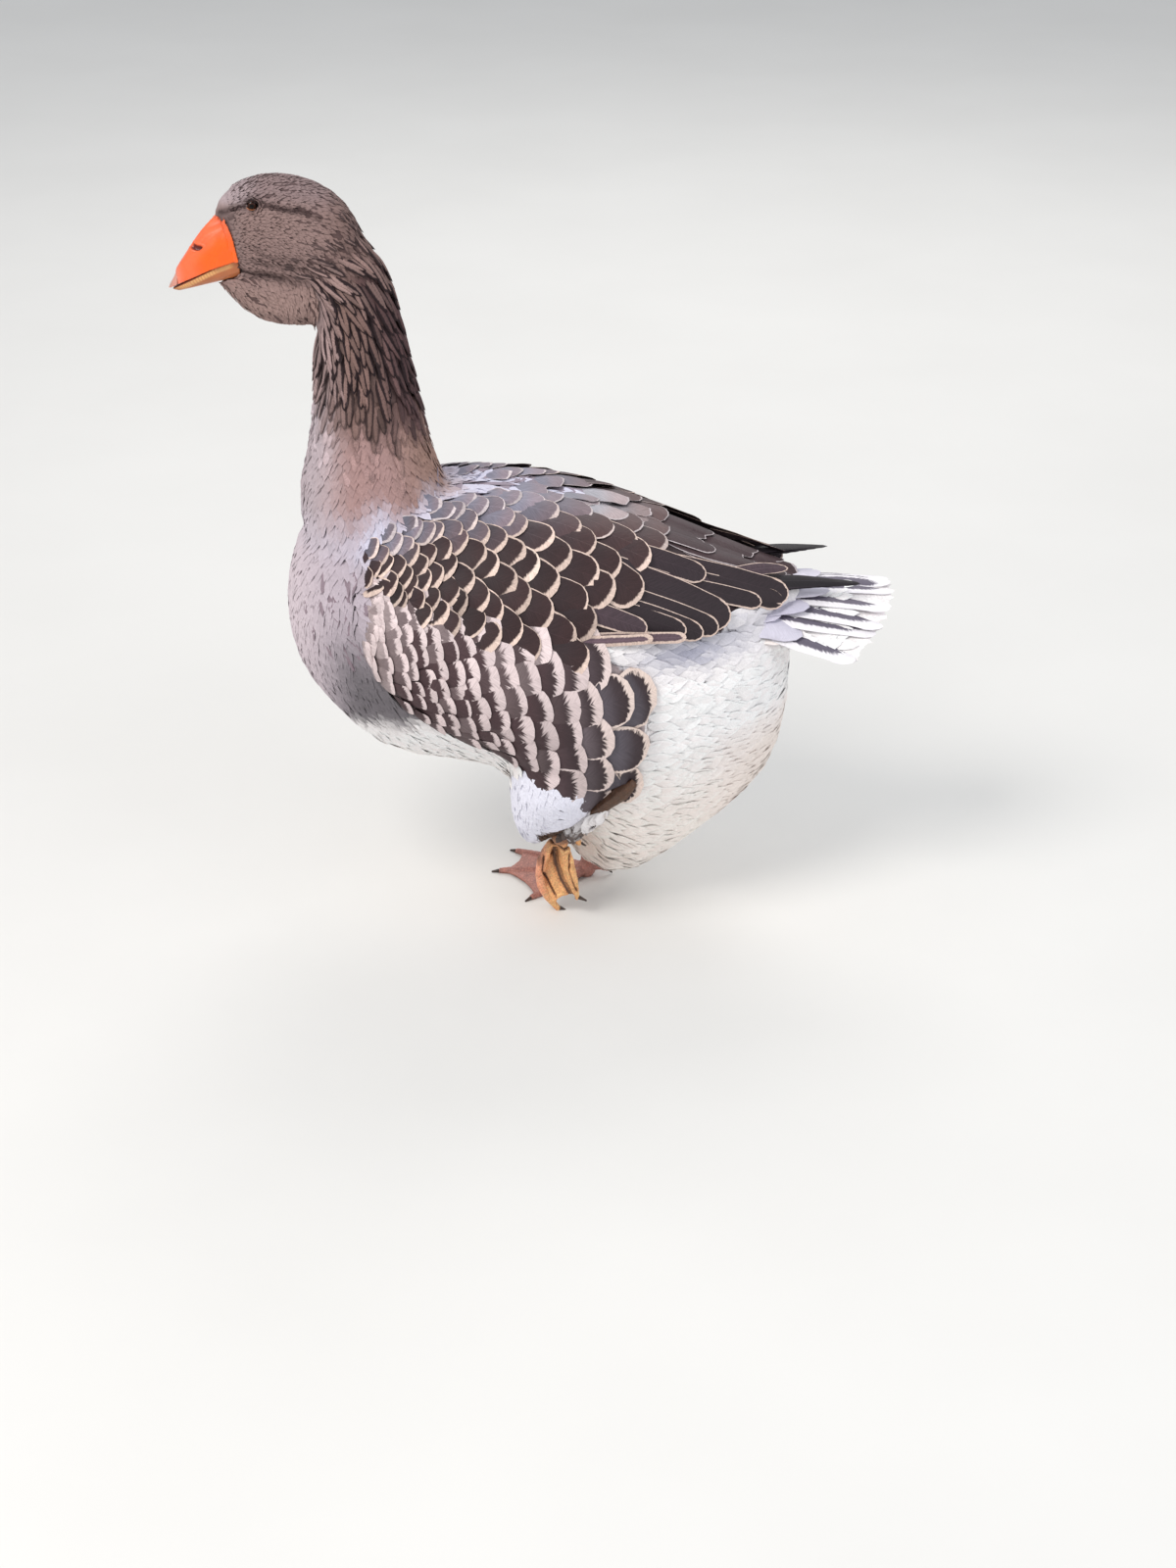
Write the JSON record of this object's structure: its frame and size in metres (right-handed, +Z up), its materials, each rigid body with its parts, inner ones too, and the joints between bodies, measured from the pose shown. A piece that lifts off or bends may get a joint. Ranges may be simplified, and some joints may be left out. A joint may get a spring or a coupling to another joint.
{
  "type": "domestic goose figure",
  "caption": "Life-size still domestic goose of the heavy dewlapped grey breed, with barred grey wings and flanks, paused in mid step on webbed feet.",
  "frame": {"origin": "centre of the bounding box's footprint on the floor that the feet stand on, z = 0", "axes": "+Z up; the goose faces -X, so its left side, the one with the drawn-up foot, is -Y"},
  "size_m": [0.6602, 0.3248, 0.7002],
  "materials": {
    "plumage_grey": "soft matte contour feathers, brown grey",
    "plumage_pale": "soft barred flank feathers, pale grey with dark bars",
    "plumage_dark": "smooth vaned feathers, dark brown with pale fringes",
    "plumage_white": "soft white down and contour feathers",
    "bill_orange": "smooth waxy horn, satin",
    "bill_nail": "smooth pale horn, satin",
    "leg_skin": "scaly webbed skin, matte",
    "claw_horn": "dull dark horn",
    "eye_dark": "wet gloss"
  },
  "bodies": {
    "root": {"trunk": "plumage_white", "neck": "plumage_grey", "head": "plumage_grey", "dewlap": "plumage_grey", "bill_upper": "bill_orange", "bill_nail": "bill_nail", "bill_lower": "bill_orange", "eye_left": "eye_dark", "eye_right": "eye_dark", "wing_left": "plumage_dark", "wing_right": "plumage_dark", "primaries_left": "plumage_dark", "primaries_right": "plumage_dark", "flank_left": "plumage_pale", "flank_right": "plumage_pale", "tail": "plumage_white", "thigh_left": "plumage_white", "thigh_right": "plumage_white", "shank_left": "leg_skin", "shank_right": "leg_skin", "foot_left": "leg_skin", "foot_right": "leg_skin", "claw_left_middle": "claw_horn", "claw_left_outer": "claw_horn", "claw_left_inner": "claw_horn", "claw_left_hind": "claw_horn", "claw_right_middle": "claw_horn", "claw_right_outer": "claw_horn", "claw_right_inner": "claw_horn", "claw_right_hind": "claw_horn"}
  },
  "joints": []
}
